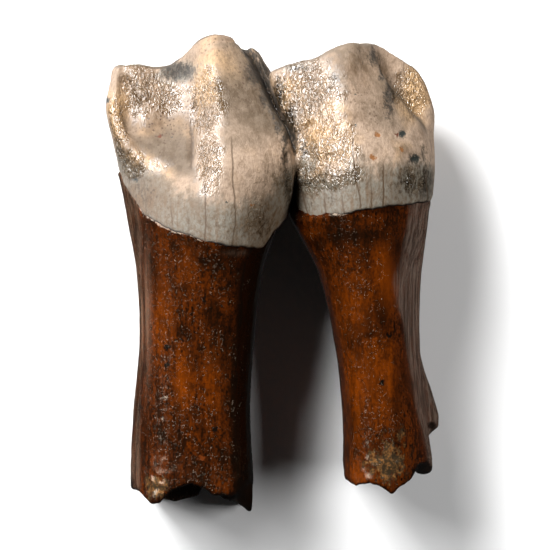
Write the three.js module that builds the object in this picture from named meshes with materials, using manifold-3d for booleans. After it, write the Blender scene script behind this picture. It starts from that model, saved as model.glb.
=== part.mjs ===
// A lower milk molar of a woolly rhinoceros, as one solid, in millimetres.
//
// The tooth lies on its tongue side. +X points to the back of the jaw, +Y from the roots to the biting
// edge, and +Z from the resting plane at z = 0 up to the cheek side. The crown has two crescent lobes with
// a deep groove between them, and stands on two broad roots, whose broken ends open into pulp hollows.
//
// The crown and each root are lofts: closed solids through a stack of rings in XZ planes. The biting
// surface, the enamel's lower edge and the broken root ends are cut by blocks with one bent face, and the
// pulp hollows by smaller lofts.
import * as THREE from "three";
import { mergeVertices } from "three/addons/utils/BufferGeometryUtils.js";
import startManifold from "manifold-3d";

const wasm = await startManifold();
wasm.setup();

// ---- driving dimensions ----
const RING_STEPS = 4; // straight pieces between two points of a ring
const CREST_HALF_WIDTH = 1.1; // the worn flat on top of a crest
const CREST_SLOPE = 1.6; // fall of the biting surface beside a crest, mm per mm
const VALLEY_FLOOR = 13.5; // the lowest height of the biting surface
const CROWN_FROM = 1; // the crown's loft runs between these heights
const CROWN_TO = 29;
const ROOT_FROM = -30; // and the roots' lofts between these
const ROOT_TO = 15;
const HOLLOW_TOP = -15.5; // the pulp hollows end here, in a dome
const HOLLOW_SHARE = 0.78; // their width against the root's, at ROOT_FROM
const BLOCK = { width: 46, depth: 28, lowestZ: -3 }; // the blocks that cut, wider than the tooth

// ---- spacing of the facets ----
const CROWN_STEP = 1.8; // along the tooth, at the crown
const ROOT_STEP = 3; // along the roots
const HOLLOW_STEP = 1.8; // along the hollows
const BITING_STEP = 0.95; // across the biting surface
const EDGE_STEP = 1.8; // across the enamel's lower edge
const BREAK_STEP = 0.9; // across the broken ends

// ---- the crown: rings of [x, z] from the front of the jaw along the cheek side and back ----
// Point order: front face, rim ridge, furrow, inner ridge, hollow, crease, first cusp, its rear flank, its
// sharp shoulder, groove between the lobes, the second lobe's shoulder, its front flank, second cusp, its
// rear flank, rear ridge, flute, rear face, then the tongue side: rear column, valley, middle column,
// valley, front column.
const CROWN = [
  {
    y: 1,
    ring: [
      [-16.2, 9], [-14.6, 14.6], [-13.6, 16], [-12.4, 17.1], [-11, 18], [-9.2, 18.8], [-5.6, 19.4],
      [-2.4, 17.6], [-0.2, 14], [2.4, 7.6], [4.4, 12.4], [6.2, 15.6], [9.6, 17.9], [13.8, 16.9], [17, 13.6],
      [17.9, 11], [18.2, 7.4], [15.4, 1], [7.5, 3.2], [-3, 1.4], [-8.8, 3.2], [-13.6, 1.4],
    ],
  },
  {
    y: 5,
    ring: [
      [-17.2, 9], [-15.4, 14.4], [-14.2, 16], [-12.8, 17.4], [-11.2, 18.6], [-9.2, 19.5], [-5.4, 20.2],
      [-1.8, 18.2], [0.5, 14.2], [2.4, 8], [3.5, 12.4], [5.8, 16.2], [9.3, 18.9], [13.8, 17.6],
      [17.6, 13.8], [18.3, 11], [18.5, 7.6], [15.6, 0.4], [7.4, 3], [-2.2, 0.8], [-8.6, 2.9], [-14, 0.8],
    ],
  },
  {
    y: 9,
    ring: [
      [-17.6, 9], [-15.4, 14], [-14, 15.8], [-12.6, 17.1], [-11, 18.2], [-9.2, 19.2], [-5.7, 20.5],
      [-1, 18.8], [2, 14.6], [2.6, 9.4], [3.2, 13], [5.8, 17.2], [9.2, 19.4], [13.8, 18], [18, 13.6],
      [18.6, 11], [18.8, 7.8], [15.9, -0.2], [7.3, 2.8], [-1.4, -0.1], [-8.6, 2.6], [-14.6, -0.2],
    ],
  },
  {
    y: 12.5,
    ring: [
      [-17.8, 9], [-15, 14.6], [-13.9, 15.1], [-12.8, 15.6], [-11.4, 16], [-9.2, 16.8], [-5.8, 20.3],
      [-1, 19], [2.2, 16.4], [2.9, 15], [3.7, 15.6], [5.9, 17.8], [9.2, 19.4], [14.4, 17.7], [18.2, 13.4],
      [18.9, 11], [19.1, 8.2], [16.1, -0.45], [7.2, 2.7], [-1, -0.4], [-8.6, 2.5], [-15.2, -0.6],
    ],
  },
  {
    y: 16,
    ring: [
      [-18.6, 9], [-17, 13.3], [-15.9, 13.1], [-14.2, 13.2], [-12, 13.3], [-9.5, 14.2], [-5.9, 18.8],
      [-1.7, 17.7], [1.6, 15.7], [2.1, 12.6], [3, 14.2], [5.5, 16.3], [8.6, 18.4], [13.6, 16.7], [17.4, 13],
      [18.3, 11.2], [19.05, 9.2], [16.2, -0.2], [7.2, 2.7], [-0.9, -0.1], [-8.6, 2.6], [-15.8, 0.1],
    ],
  },
  {
    y: 19.5,
    ring: [
      [-19.25, 9.2], [-18.1, 12], [-16.7, 11.5], [-14.4, 12.2], [-11.9, 11.6], [-9.4, 12.5], [-6, 17],
      [-2.8, 15.9], [-0.4, 13.8], [0.5, 9.4], [1.3, 12.4], [4.8, 15], [8.2, 17.3], [11.7, 15.8],
      [15.1, 13.2], [16.3, 10.7], [18.8, 9.4], [16.3, 0.8], [7.3, 3.1], [-1, 1], [-8.6, 3.1], [-16.3, 1.6],
    ],
  },
  {
    y: 23,
    ring: [
      [-18.7, 9.2], [-18.1, 11.1], [-17.1, 10.7], [-15.8, 11.3], [-13.1, 10.5], [-10.2, 10.8], [-6.4, 14.9],
      [-3.9, 13.9], [-2.2, 12.2], [-1, 7.8], [0.2, 11.3], [3.9, 13.6], [8.6, 15.9], [10.6, 14.7],
      [12.5, 13], [13.8, 10.5], [17.6, 8.6], [15.2, 2.9], [7.4, 4], [-1.3, 2.8], [-8.6, 4.2], [-16.4, 4],
    ],
  },
  {
    y: 27,
    ring: [
      [-18.4, 9.2], [-17.9, 10.5], [-17, 10.2], [-15.9, 10.6], [-13.2, 10.1], [-10.4, 10.3], [-6.7, 13],
      [-5.6, 12.5], [-4.4, 11.2], [-3.2, 7.4], [-0.2, 10.2], [3.6, 12.1], [9.2, 14.2], [10.3, 13.4],
      [11.3, 12.2], [12.3, 10.8], [15, 9.2], [12.8, 5.2], [7.4, 5.6], [-2.2, 4.6], [-8.6, 6], [-16.4, 6.4],
    ],
  },
];

// ---- the crests of the biting surface: [x, height, z] along each crescent ----
const CRESTS = [
  [
    [-16.2, 22.6, 4.6], [-18, 24, 8.2], [-16.8, 24.5, 9.8], [-15.2, 24.5, 10.2], [-13.4, 24.1, 9.8],
    [-11.8, 24.4, 10], [-10.2, 26, 11.2], [-8.4, 27.4, 12], [-6.5, 28, 12.2], [-5.4, 27.8, 11.4],
    [-4.2, 27.1, 9.6], [-3.2, 26.6, 7.2], [-2.6, 26.1, 5],
  ],
  [
    [-0.6, 22.2, 7.6], [0.8, 23.7, 10.2], [2.6, 24.5, 11.6], [5.4, 25.1, 12.6], [7.4, 26.2, 13.2],
    [9.2, 26.8, 13.2], [10.6, 26.7, 12.1], [11.7, 27, 10.4], [12.9, 26.6, 9.7], [14.3, 25.6, 9.2],
    [15.9, 24.5, 8.5], [17.2, 23.3, 7.2], [17, 22.8, 5],
  ],
];

// ---- the enamel's lower edge: [x, height] on the cheek side, and its rise towards the tongue side ----
const ENAMEL_EDGE = [
  [-19, 12.4], [-17.6, 11.1], [-16.4, 8.6], [-14.6, 6.8], [-12.3, 5.7], [-10, 4.5], [-7.7, 3.6], [-5.3, 3],
  [-2.4, 2.8], [-0.5, 3.1], [0.6, 4.4], [1.6, 6], [2.6, 6.8], [3.3, 5.2], [4.5, 5.2], [6.8, 6], [9.2, 6.6],
  [11.5, 7.3], [13.8, 7.5], [16.1, 7.4], [17.9, 7.8], [19.5, 8.4],
];
const TONGUE_EDGE_RISE = 2.2;
const RISE_FROM_Z = 12; // the rise begins here
const RISE_TO_Z = 3; // and is complete here

// ---- the roots: rings of [x, z] in the same sense as the crown's ----
// Point order: front side, its groove, cheek-side corner, cheek face (3), rear corner, rear side, then the
// tongue side (3).
const FRONT_ROOT = [
  {
    y: -30,
    ring: [
      [-16.4, 8], [-16, 10.8], [-15.3, 13.3], [-12.9, 16.3], [-8.2, 17.1], [-3.9, 16.1], [-2, 13],
      [-2.1, 8.2], [-3.8, -0.6], [-8.8, 0.7], [-13.8, -0.6],
    ],
  },
  {
    y: -24,
    ring: [
      [-16.4, 8], [-16, 10.8], [-15.2, 13.4], [-12.8, 16.4], [-8.2, 17.3], [-4, 16.2], [-2.2, 13],
      [-2.3, 8.2], [-3.8, -0.5], [-8.8, 0.9], [-13.8, -0.5],
    ],
  },
  {
    y: -16,
    ring: [
      [-16.1, 8], [-15.5, 10.9], [-14.9, 13.6], [-12.4, 16.5], [-8, 17.5], [-4.1, 16.2], [-2.5, 13],
      [-2.8, 8.4], [-3.8, 1.2], [-8.8, 2], [-13.8, 0.9],
    ],
  },
  {
    y: -8,
    ring: [
      [-15.4, 8.2], [-14.6, 11.2], [-14.4, 14], [-11.8, 16.8], [-7.6, 17.7], [-3.9, 16.4], [-2.1, 13.2],
      [-2.3, 8.6], [-3.4, 2], [-8.6, 2.8], [-13.4, 1.8],
    ],
  },
  {
    y: 0,
    ring: [
      [-15.7, 8.4], [-14.9, 11.8], [-14.5, 14.6], [-11.6, 17.4], [-7.2, 18.7], [-3.4, 17.4], [-1.3, 14],
      [-1.4, 9], [-2.8, 2], [-8.4, 3], [-13.6, 2],
    ],
  },
  {
    y: 6,
    ring: [
      [-16.7, 8.6], [-15.6, 12.6], [-14.6, 14.7], [-11.4, 17.6], [-6.6, 19.4], [-2.6, 17.8], [-0.2, 14.2],
      [0.3, 9.2], [-2.2, 1.6], [-8.4, 3.2], [-14, 1.6],
    ],
  },
  {
    y: 12,
    ring: [
      [-17.5, 8.6], [-16, 12], [-14.6, 13.6], [-11.8, 15], [-7.2, 16.8], [-2.6, 16], [0.2, 12.6],
      [0.8, 8.6], [-1.4, 1.8], [-8.4, 3.6], [-14.2, 1.8],
    ],
  },
  {
    y: 15,
    ring: [
      [-17, 8.6], [-15.6, 11], [-14.2, 11.8], [-11.6, 12.2], [-7.4, 13.4], [-2.8, 13], [-0.2, 11],
      [0.4, 8.4], [-1.6, 2.6], [-8.4, 4.6], [-14.2, 2.8],
    ],
  },
];
const REAR_ROOT = [
  {
    y: -30,
    ring: [
      [8.5, 8.2], [8.7, 11.6], [9.7, 14.7], [11.6, 16.4], [14.6, 15.7], [17.3, 13.6], [18.7, 11],
      [19.1, 7.2], [16.6, -0.6], [12.2, 0.4], [9.4, -0.6],
    ],
  },
  {
    y: -24,
    ring: [
      [8.5, 8.2], [8.7, 11.6], [9.7, 14.8], [11.6, 16.5], [14.6, 15.8], [17.2, 13.6], [18.6, 11], [19, 7.2],
      [16.6, -0.5], [12.2, 0.6], [9.4, -0.5],
    ],
  },
  {
    y: -16,
    ring: [
      [8.35, 8.4], [8.6, 11.8], [9.6, 14.8], [11.5, 16.5], [14.2, 15.9], [16.2, 13.8], [17.4, 10.8],
      [18.1, 7.2], [16.2, 1.2], [12, 1.9], [9.2, 1.1],
    ],
  },
  {
    y: -8,
    ring: [
      [7.4, 8.6], [7.7, 12], [8.8, 15], [10.8, 16.7], [13.4, 16.2], [15.2, 14.2], [16.2, 11.2], [17.4, 7.4],
      [15.6, 2], [11.4, 2.8], [8.4, 2.2],
    ],
  },
  {
    y: 0,
    ring: [
      [5.6, 8.8], [5.8, 12.2], [7.3, 15.6], [9.6, 17.6], [12.8, 17.2], [14.7, 15.2], [16.1, 11.6],
      [17.6, 7.6], [15.2, 2], [10.4, 3.2], [6.8, 2.4],
    ],
  },
  {
    y: 6,
    ring: [
      [2.9, 9], [3.1, 12], [4.9, 15], [8.4, 18.3], [12.2, 17.9], [15.4, 15.2], [17.6, 11.8], [18.2, 8],
      [15.4, 1.4], [9.8, 3.4], [4.4, 2.8],
    ],
  },
  {
    y: 12,
    ring: [
      [1.9, 9], [2.2, 12], [4.6, 14.6], [8.2, 17.2], [11.8, 17], [15.2, 14.8], [17.2, 11.8], [18, 8],
      [15.4, 1.6], [9.6, 3.6], [3.4, 3.4],
    ],
  },
  {
    y: 15,
    ring: [
      [2.4, 8.8], [2.8, 11.2], [4.8, 13.2], [8, 15.2], [11.6, 15], [14.8, 13.2], [16.8, 11], [17.6, 8],
      [15.4, 2.2], [9.6, 4.4], [3.6, 4.2],
    ],
  },
];

// ---- the blunt spur on the rear root's tongue side, round about its own line ----
const SPUR_TOP = [14.2, -3, 5.6];
const SPUR_TIP = [18, -19, 4.4];
// [radius, distance down the line], ending in a small pit
const SPUR_PROFILE = [
  [0, 0], [0.9, 1], [1.3, 5], [1.7, 8.5], [2.1, 11.5], [2.25, 14.6], [1.9, 15.9], [1.1, 16.3], [0.8, 15.4],
  [0, 15],
];
const SPUR_SIDES = 16;

// ---- the broken ends: [x, height] of the edge on the cheek side and on the tongue side ----
const BREAK_MIDDLE_Z = 9; // the two edges change over about this height
const BREAK_BAND = 5;
const FRONT_BREAK = {
  cheek: [
    [-17, -25.0], [-15.2, -25.1], [-13.7, -26.6], [-12.8, -26.3], [-11.4, -24.8], [-9.0, -24.0],
    [-7.4, -24.7], [-6.6, -25.4], [-4.2, -25.5], [-2.9, -24.4], [-2.0, -23.8],
  ],
  tongue: [
    [-17, -24.6], [-14.0, -26.2], [-11.5, -27.0], [-8.6, -26.2], [-7.8, -24.5], [-7.2, -24.5], [-6.2, -26.2],
    [-5.6, -26.7], [-3.6, -27.1], [-2.6, -27.9], [-1.8, -27.7],
  ],
};
const REAR_BREAK = {
  cheek: [
    [8.0, -23.6], [9.8, -24.4], [11.4, -24.0], [12.8, -24.5], [14.0, -25.4], [14.8, -24.5], [16.2, -23.7],
    [17.0, -22.0], [19.2, -21.9],
  ],
  tongue: [
    [8.0, -22.4], [12.0, -23.0], [16.6, -22.4], [17.1, -23.4], [18.4, -23.5], [19.2, -22.8],
  ],
};

// ---- small maths ----
const mix = (a, b, t) => a + (b - a) * t;
const clamp01 = (t) => Math.min(1, Math.max(0, t));
const smooth01 = (t) => clamp01(t) ** 2 * (3 - 2 * clamp01(t));

// Evenly spaced places from low to high, both included, no further apart than step.
function spaced(low, high, step) {
  const count = Math.ceil((high - low) / step);
  return Array.from({ length: count + 1 }, (_, i) => mix(low, high, i / count));
}

// Height of a broken line of [x, height] points at x.
function heightAt(line, x) {
  let i = 1;
  while (i < line.length - 1 && x > line[i][0]) i++;
  const [x0, h0] = line[i - 1];
  const [x1, h1] = line[i];
  return mix(h0, h1, clamp01((x - x0) / (x1 - x0)));
}

// A cubic through the values b and c at tb and tc, whose slopes also use the neighbours a and d.
function throughPoints(a, b, c, d, ta, tb, tc, td, t) {
  const span = tc - tb;
  const slopeB = (c - a) / (tc - ta);
  const slopeC = (d - b) / (td - tb);
  const s = (t - tb) / span;
  const bend = 2 * (b - c) + span * (slopeB + slopeC);
  const rise = 3 * (c - b) - span * (2 * slopeB + slopeC);
  return b + s * (span * slopeB + s * (rise + s * bend));
}

// ---- solids ----
// A three.js geometry as a solid that can be joined and cut.
function solidOf(geometry) {
  geometry.deleteAttribute("normal");
  geometry.deleteAttribute("uv");
  const merged = mergeVertices(geometry);
  const vertProperties = merged.attributes.position.array;
  const triVerts = new Uint32Array(merged.index.array);
  return new wasm.Manifold(new wasm.Mesh({ numProp: 3, vertProperties, triVerts }));
}

// The closed outline of a loft at height y, as a list of [x, z] corners. The rings go up in height.
function outlineAt(loft, y) {
  const last = loft.length - 1;
  let i = 0;
  while (i < last - 1 && y > loft[i + 1].y) i++;
  const at = (n) => loft[Math.min(Math.max(n, 0), last)];
  const [a, b, c, d] = [at(i - 1), at(i), at(i + 1), at(i + 2)];
  const height = Math.min(Math.max(y, b.y), c.y);
  const points = b.ring.map((_, k) => {
    const [x, z] = [0, 1].map((axis) =>
      throughPoints(
        a.ring[k][axis], b.ring[k][axis], c.ring[k][axis], d.ring[k][axis], a.y, b.y, c.y, d.y, height,
      ),
    );
    return new THREE.Vector3(x, 0, z);
  });
  const curve = new THREE.CatmullRomCurve3(points, true, "centripetal");
  return curve.getPoints(points.length * RING_STEPS).slice(0, -1).map((p) => [p.x, p.z]);
}

// A closed solid through the loft's outlines at the given heights, with a flat cap at each end. shareAt
// gives each outline's size against the loft's own, about its middle.
function loftSolid(loft, heights, shareAt = () => 1) {
  const rings = heights.map((y) => {
    const outline = outlineAt(loft, y);
    const middle = [0, 1].map((axis) => outline.reduce((sum, p) => sum + p[axis], 0) / outline.length);
    return outline.map((p) => [0, 1].map((axis) => mix(middle[axis], p[axis], shareAt(y))));
  });
  const around = rings[0].length;
  const positions = rings.flatMap((ring, i) => ring.flatMap(([x, z]) => [x, heights[i], z]));
  const triangles = [];
  for (let i = 0; i < rings.length - 1; i++)
    for (let n = 0; n < around; n++) {
      const [a, b] = [i * around + n, i * around + ((n + 1) % around)];
      triangles.push(a, b, b + around, a, b + around, a + around);
    }
  const cap = (ring, first, isTop) => {
    const contour = ring.map(([x, z]) => new THREE.Vector2(x, z));
    for (const [a, b, c] of THREE.ShapeUtils.triangulateShape(contour, [])) {
      const goesUp = THREE.ShapeUtils.area([contour[a], contour[b], contour[c]]) < 0;
      triangles.push(...(goesUp === isTop ? [a, b, c] : [a, c, b]).map((n) => first + n));
    }
  };
  cap(rings[0], 0, false);
  cap(rings.at(-1), (rings.length - 1) * around, true);
  const geometry = new THREE.BufferGeometry();
  geometry.setAttribute("position", new THREE.Float32BufferAttribute(positions, 3));
  geometry.setIndex(triangles);
  return solidOf(geometry);
}

// A block under the whole tooth or over it, with its lower and upper faces at the heights given over (x, z).
function blockBetween(lowerAt, upperAt, step) {
  const [across, deep] = [BLOCK.width, BLOCK.depth].map((size) => Math.ceil(size / step));
  const box = new THREE.BoxGeometry(BLOCK.width, 1, BLOCK.depth, across, 1, deep);
  box.translate(0, 0, BLOCK.depth / 2 + BLOCK.lowestZ);
  const position = box.getAttribute("position");
  for (let i = 0; i < position.count; i++) {
    const face = position.getY(i) < 0 ? lowerAt : upperAt;
    position.setY(i, face(position.getX(i), position.getZ(i)));
  }
  return solidOf(box);
}

// ---- the crown ----
// Height of the biting surface: a ridge along each crest, falling away on both sides to the valley floor.
function bitingHeight(x, z) {
  let height = VALLEY_FLOOR;
  for (const crest of CRESTS)
    for (let i = 1; i < crest.length; i++) {
      const [ax, ay, az] = crest[i - 1];
      const [bx, by, bz] = crest[i];
      const t = clamp01(((x - ax) * (bx - ax) + (z - az) * (bz - az)) / ((bx - ax) ** 2 + (bz - az) ** 2));
      const away = Math.hypot(x - mix(ax, bx, t), z - mix(az, bz, t));
      height = Math.max(height, mix(ay, by, t) - CREST_SLOPE * Math.max(0, away - CREST_HALF_WIDTH));
    }
  return height;
}

function enamelEdgeHeight(x, z) {
  const tongueSide = smooth01((RISE_FROM_Z - z) / (RISE_FROM_Z - RISE_TO_Z));
  return heightAt(ENAMEL_EDGE, x) + TONGUE_EDGE_RISE * tongueSide;
}

const crown = loftSolid(CROWN, spaced(CROWN_FROM, CROWN_TO, CROWN_STEP))
  .subtract(blockBetween(bitingHeight, () => CROWN_TO + 1, BITING_STEP))
  .subtract(blockBetween(() => CROWN_FROM - 1, enamelEdgeHeight, EDGE_STEP));

// ---- the roots ----
// Width of the domed pulp hollow against the root's.
const hollowShare = (y) => HOLLOW_SHARE * Math.sqrt(1 - ((y - ROOT_FROM) / (HOLLOW_TOP - ROOT_FROM)) ** 2);

function brokenRoot(loft, broken) {
  const brokenEdge = (x, z) => {
    const cheekSide = smooth01((z - BREAK_MIDDLE_Z) / BREAK_BAND + 0.5);
    return mix(heightAt(broken.tongue, x), heightAt(broken.cheek, x), cheekSide);
  };
  return loftSolid(loft, spaced(ROOT_FROM, ROOT_TO, ROOT_STEP))
    .subtract(loftSolid(loft, spaced(ROOT_FROM - 1, HOLLOW_TOP - 0.1, HOLLOW_STEP), hollowShare))
    .subtract(blockBetween(() => ROOT_FROM - 2, brokenEdge, BREAK_STEP));
}

function spur() {
  const profile = SPUR_PROFILE.map(([radius, down]) => new THREE.Vector2(radius, -down)).reverse();
  const top = new THREE.Vector3(...SPUR_TOP);
  const upward = top.clone().sub(new THREE.Vector3(...SPUR_TIP)).normalize();
  const turn = new THREE.Quaternion().setFromUnitVectors(new THREE.Vector3(0, 1, 0), upward);
  const geometry = new THREE.LatheGeometry(profile, SPUR_SIDES);
  geometry.applyQuaternion(turn).translate(...SPUR_TOP);
  return solidOf(geometry);
}

// ---- the part ----
const solid = crown
  .add(brokenRoot(FRONT_ROOT, FRONT_BREAK))
  .add(brokenRoot(REAR_ROOT, REAR_BREAK))
  .add(spur())
  .trimByPlane([0, 0, 1], 0); // the small flats that it rests on
const { vertProperties, triVerts } = solid.getMesh();

const geometry = new THREE.BufferGeometry();
geometry.setAttribute("position", new THREE.BufferAttribute(vertProperties, 3));
geometry.setIndex(new THREE.BufferAttribute(triVerts, 1));
geometry.computeBoundingBox();
const middle = geometry.boundingBox.getCenter(new THREE.Vector3());
geometry.translate(-middle.x, -middle.y, 0); // the origin is under the middle of the tooth
geometry.computeVertexNormals();

const tooth = new THREE.Mesh(
  geometry,
  new THREE.MeshStandardMaterial({ color: 0xb9a58c, roughness: 0.35, metalness: 0 }),
);
tooth.name = "tooth";

const group = new THREE.Group();
group.add(tooth);
export default group;
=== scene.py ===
"""A fossil milk tooth of a woolly rhinoceros, lying on a pale floor and seen from above.

The CAD frame gives the tooth's place and size. Two finer meshes stand for it: the enamel crown and the
roots. Each is the zero surface of a distance field, built from the same rings as the CAD solid, with the low
relief, the cracks and the lumps that the solid leaves out. These sizes are in millimetres in the tooth's own
drawing: x to the back of the jaw, y from the roots to the biting edge, z from the tongue side to the cheek.
"""
import math

import bpy
import numpy as np
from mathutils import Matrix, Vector, noise


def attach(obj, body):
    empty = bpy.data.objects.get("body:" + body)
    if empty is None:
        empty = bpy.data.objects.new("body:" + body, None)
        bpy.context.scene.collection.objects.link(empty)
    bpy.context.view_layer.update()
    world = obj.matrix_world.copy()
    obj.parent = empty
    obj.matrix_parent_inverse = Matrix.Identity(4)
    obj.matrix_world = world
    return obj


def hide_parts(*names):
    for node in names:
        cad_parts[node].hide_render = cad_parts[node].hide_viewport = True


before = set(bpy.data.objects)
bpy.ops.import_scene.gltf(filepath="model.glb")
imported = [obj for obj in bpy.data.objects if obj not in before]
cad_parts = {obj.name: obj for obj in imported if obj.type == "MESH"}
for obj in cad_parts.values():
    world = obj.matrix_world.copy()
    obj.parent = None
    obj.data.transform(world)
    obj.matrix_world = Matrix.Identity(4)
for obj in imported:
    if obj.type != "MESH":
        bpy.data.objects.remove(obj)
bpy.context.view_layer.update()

MM = 0.001
MIDDLE = (0.27, 0.07)  # the frame's origin is under this place of the drawing

# ---- the surfaces' fineness ----
CROWN_CELL = 0.215
ROOT_CELL = 0.28
CROWN_EASING = 8  # rounds of smoothing
ROOT_EASING = 2
RESTING = CROWN_CELL / 4  # points below this height rest on the floor
MARGIN = 1.2  # empty space kept round a field
RING_STEPS = 7  # straight pieces between two points of a ring
EASE_IN, EASE_OUT = 0.5, -0.52  # shares of the way to the neighbours' middle

# ---- the crown's sizes ----
CREST_HALF_WIDTH = 1.1  # the worn flat on top of a crest
CREST_BLUR = 0.55  # a crest's height is averaged over about this far
CREST_STEPS = 8  # straight pieces between two points of a crest
CREST_SLOPE = 1.6  # fall of the biting surface beside a crest
VALLEY_FLOOR = 13.5  # the lowest height of the biting surface
CREST_ROUNDING = 0.5
LIP_ROUNDING = 0.35
TONGUE_EDGE_RISE = 2.2  # of the enamel's edge, towards the tongue side
RAGGED_EDGE = [(0.06, 1.9, 1), (0.04, 5.3, 0), (0.02, 12.3, 0)]  # (height, radians in a millimetre, shift)
CROWN_LOW, CROWN_HIGH = (-19.3, 2, 0), (19.2, 28.2, 20.6)

# ---- the roots' sizes ----
ROOT_FROM = -30
ROOT_TOP = 12
RIM_SWELL = 0.5  # the roots swell by this much towards the enamel's edge
RIM_HEIGHT = 1.3  # over about this height
HOLLOW_TOP = -15.5  # the pulp hollows end here, in a dome
HOLLOW_SHARE = 0.78  # their width against the root's, at ROOT_FROM
SPUR_BLEND = 1.2
ROOT_TAPER = 0.5  # the roots draw in by this much a millimetre above the enamel's edge, inside the crown
ROOTS_LOW, ROOTS_HIGH = (-17.8, -28.2, 0), (20, ROOT_TOP, 20)

# ---- the crown: (height, ring of (x, z) from the front of the jaw along the cheek side and back) ----
# Point order: front face, rim ridge, furrow, inner ridge, hollow, crease, first cusp, its rear flank, its
# sharp shoulder, groove between the lobes, the second lobe's shoulder, its front flank, second cusp, its
# rear flank, rear ridge, flute, rear face, then the tongue side: rear column, valley, middle column,
# valley, front column.
CROWN = [
    (1, [(-16.2, 9), (-14.6, 14.6), (-13.6, 16), (-12.4, 17.1), (-11, 18), (-9.2, 18.8), (-5.6, 19.4),
     (-2.4, 17.6), (-0.2, 14), (2.4, 7.6), (4.4, 12.4), (6.2, 15.6), (9.6, 17.9), (13.8, 16.9), (17, 13.6),
     (17.9, 11), (18.2, 7.4), (15.4, 1), (7.5, 3.2), (-3, 1.4), (-8.8, 3.2), (-13.6, 1.4)]),
    (5, [(-17.2, 9), (-15.4, 14.4), (-14.2, 16), (-12.8, 17.4), (-11.2, 18.6), (-9.2, 19.5), (-5.4, 20.2),
     (-1.8, 18.2), (0.5, 14.2), (2.4, 8), (3.5, 12.4), (5.8, 16.2), (9.3, 18.9), (13.8, 17.6),
     (17.6, 13.8), (18.3, 11), (18.5, 7.6), (15.6, 0.4), (7.4, 3), (-2.2, 0.8), (-8.6, 2.9), (-14, 0.8)]),
    (9, [(-17.6, 9), (-15.4, 14), (-14, 15.8), (-12.6, 17.1), (-11, 18.2), (-9.2, 19.2), (-5.7, 20.5),
     (-1, 18.8), (2, 14.6), (2.6, 9.4), (3.2, 13), (5.8, 17.2), (9.2, 19.4), (13.8, 18), (18, 13.6),
     (18.6, 11), (18.8, 7.8), (15.9, -0.2), (7.3, 2.8), (-1.4, -0.1), (-8.6, 2.6), (-14.6, -0.2)]),
    (12.5, [(-17.8, 9), (-15, 14.6), (-13.9, 15.1), (-12.8, 15.6), (-11.4, 16), (-9.2, 16.8), (-5.8, 20.3),
     (-1, 19), (2.2, 16.4), (2.9, 15), (3.7, 15.6), (5.9, 17.8), (9.2, 19.4), (14.4, 17.7), (18.2, 13.4),
     (18.9, 11), (19.1, 8.2), (16.1, -0.45), (7.2, 2.7), (-1, -0.4), (-8.6, 2.5), (-15.2, -0.6)]),
    (16, [(-18.6, 9), (-17, 13.3), (-15.9, 13.1), (-14.2, 13.2), (-12, 13.3), (-9.5, 14.2), (-5.9, 18.8),
     (-1.7, 17.7), (1.6, 15.7), (2.1, 12.6), (3, 14.2), (5.5, 16.3), (8.6, 18.4), (13.6, 16.7), (17.4, 13),
     (18.3, 11.2), (19.05, 9.2), (16.2, -0.2), (7.2, 2.7), (-0.9, -0.1), (-8.6, 2.6), (-15.8, 0.1)]),
    (19.5, [(-19.25, 9.2), (-18.1, 12), (-16.7, 11.5), (-14.4, 12.2), (-11.9, 11.6), (-9.4, 12.5), (-6, 17),
     (-2.8, 15.9), (-0.4, 13.8), (0.5, 9.4), (1.3, 12.4), (4.8, 15), (8.2, 17.3), (11.7, 15.8),
     (15.1, 13.2), (16.3, 10.7), (18.8, 9.4), (16.3, 0.8), (7.3, 3.1), (-1, 1), (-8.6, 3.1),
     (-16.3, 1.6)]),
    (23, [(-18.7, 9.2), (-18.1, 11.1), (-17.1, 10.7), (-15.8, 11.3), (-13.1, 10.5), (-10.2, 10.8),
     (-6.4, 14.9), (-3.9, 13.9), (-2.2, 12.2), (-1, 7.8), (0.2, 11.3), (3.9, 13.6), (8.6, 15.9),
     (10.6, 14.7), (12.5, 13), (13.8, 10.5), (17.6, 8.6), (15.2, 2.9), (7.4, 4), (-1.3, 2.8), (-8.6, 4.2),
     (-16.4, 4)]),
    (27, [(-18.4, 9.2), (-17.9, 10.5), (-17, 10.2), (-15.9, 10.6), (-13.2, 10.1), (-10.4, 10.3), (-6.7, 13),
     (-5.6, 12.5), (-4.4, 11.2), (-3.2, 7.4), (-0.2, 10.2), (3.6, 12.1), (9.2, 14.2), (10.3, 13.4),
     (11.3, 12.2), (12.3, 10.8), (15, 9.2), (12.8, 5.2), (7.4, 5.6), (-2.2, 4.6), (-8.6, 6),
     (-16.4, 6.4)]),
]

# ---- the crests of the two lobes: (x, height, z) from the front of the jaw ----
CRESTS = [
    [(-16.2, 22.6, 4.6), (-18, 24, 8.2), (-16.8, 24.5, 9.8), (-15.2, 24.5, 10.2), (-13.4, 24.1, 9.8),
     (-11.8, 24.4, 10), (-10.2, 26, 11.2), (-8.4, 27.4, 12), (-6.5, 28, 12.2), (-5.4, 27.8, 11.4),
     (-4.2, 27.1, 9.6), (-3.2, 26.6, 7.2), (-2.6, 26.1, 5)],
    [(-0.6, 22.2, 7.6), (0.8, 23.7, 10.2), (2.6, 24.5, 11.6), (5.4, 25.1, 12.6), (7.4, 26.2, 13.2),
     (9.2, 26.8, 13.2), (10.6, 26.7, 12.1), (11.7, 27, 10.4), (12.9, 26.6, 9.7), (14.3, 25.6, 9.2),
     (15.9, 24.5, 8.5), (17.2, 23.3, 7.2), (17, 22.8, 5)],
]

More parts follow.
